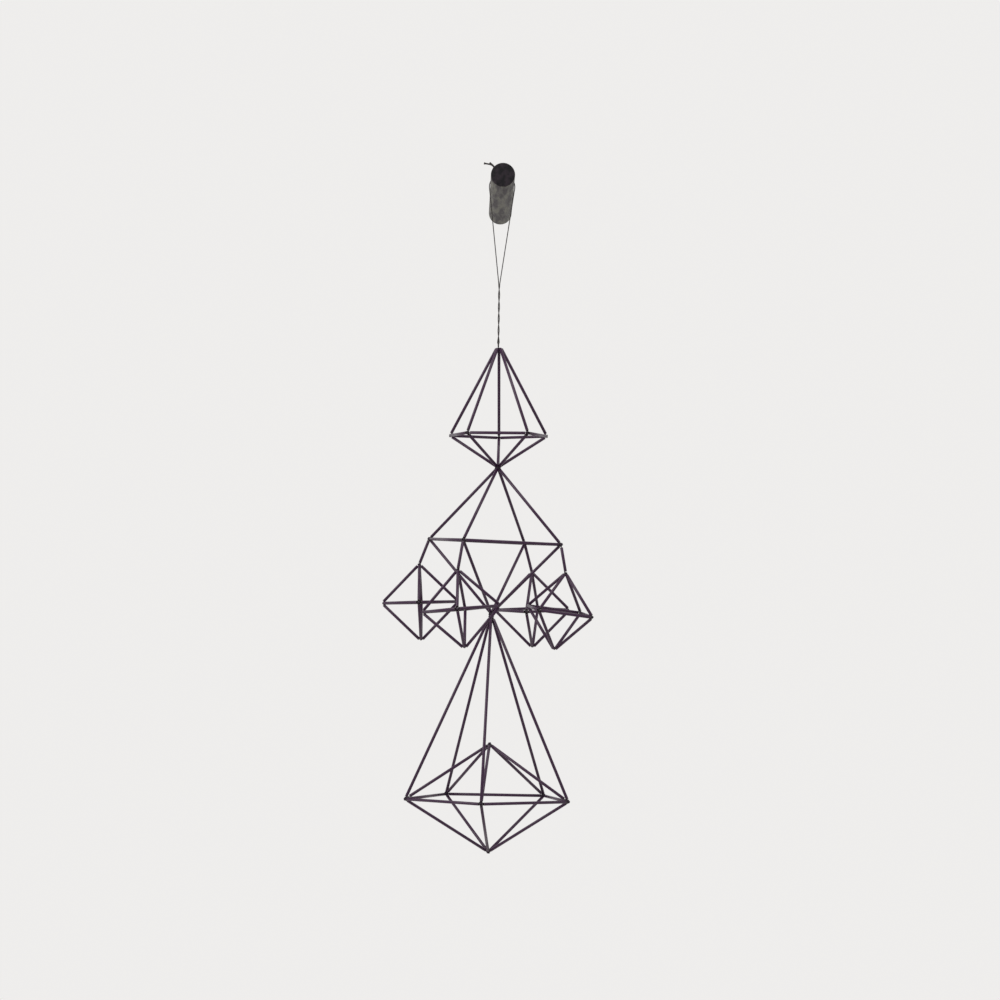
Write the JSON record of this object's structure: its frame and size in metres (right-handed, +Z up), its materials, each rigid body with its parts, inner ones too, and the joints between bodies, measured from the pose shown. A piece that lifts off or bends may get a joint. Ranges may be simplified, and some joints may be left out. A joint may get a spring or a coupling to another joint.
{
  "type": "hanging geometric mobile",
  "caption": "Black geometric mobile of thin tubes strung into bipyramids and octahedra, hung by a doubled twisted thread from a round wall peg.",
  "frame": {"origin": "centre of the peg's flat wall face", "axes": "+Y into the wall, out of the peg's wall face; +Z up; +X to the right as seen by someone who faces the wall"},
  "size_m": [0.2121, 0.2686, 0.6947],
  "materials": {
    "black_tube": "satin black coat on thin-walled metal tube",
    "wire": "dark annealed binding wire, dull",
    "thread": "dark brown-black plied thread",
    "peg_wood": "dark stained, slightly worn"
  },
  "bodies": {
    "root": {"wall_peg": "peg_wood", "hanging_string": "thread", "binding_wire": "wire", "top_upper_1": "black_tube", "top_belt_1": "black_tube", "top_lower_1": "black_tube", "top_upper_2": "black_tube", "top_belt_2": "black_tube", "top_lower_2": "black_tube", "top_upper_3": "black_tube", "top_belt_3": "black_tube", "top_lower_3": "black_tube", "top_upper_4": "black_tube", "top_belt_4": "black_tube", "top_lower_4": "black_tube", "top_upper_5": "black_tube", "top_belt_5": "black_tube", "top_lower_5": "black_tube", "middle_upper_1": "black_tube", "middle_belt_1": "black_tube", "middle_lower_1": "black_tube", "middle_upper_2": "black_tube", "middle_belt_2": "black_tube", "middle_lower_2": "black_tube", "middle_upper_3": "black_tube", "middle_belt_3": "black_tube", "middle_lower_3": "black_tube", "middle_upper_4": "black_tube", "middle_belt_4": "black_tube", "middle_lower_4": "black_tube", "bottom_upper_1": "black_tube", "bottom_belt_1": "black_tube", "bottom_lower_1": "black_tube", "bottom_inner_1": "black_tube", "bottom_upper_2": "black_tube", "bottom_belt_2": "black_tube", "bottom_lower_2": "black_tube", "bottom_inner_2": "black_tube", "bottom_upper_3": "black_tube", "bottom_belt_3": "black_tube", "bottom_lower_3": "black_tube", "bottom_inner_3": "black_tube", "bottom_upper_4": "black_tube", "bottom_belt_4": "black_tube", "bottom_lower_4": "black_tube", "bottom_inner_4": "black_tube", "bottom_upper_5": "black_tube", "bottom_belt_5": "black_tube", "bottom_lower_5": "black_tube", "bottom_inner_5": "black_tube", "link_front": "black_tube", "link_right": "black_tube", "link_back": "black_tube", "link_left": "black_tube", "small_octahedron_front": "black_tube", "small_octahedron_right": "black_tube", "small_octahedron_back": "black_tube", "small_octahedron_left": "black_tube"}
  },
  "joints": []
}
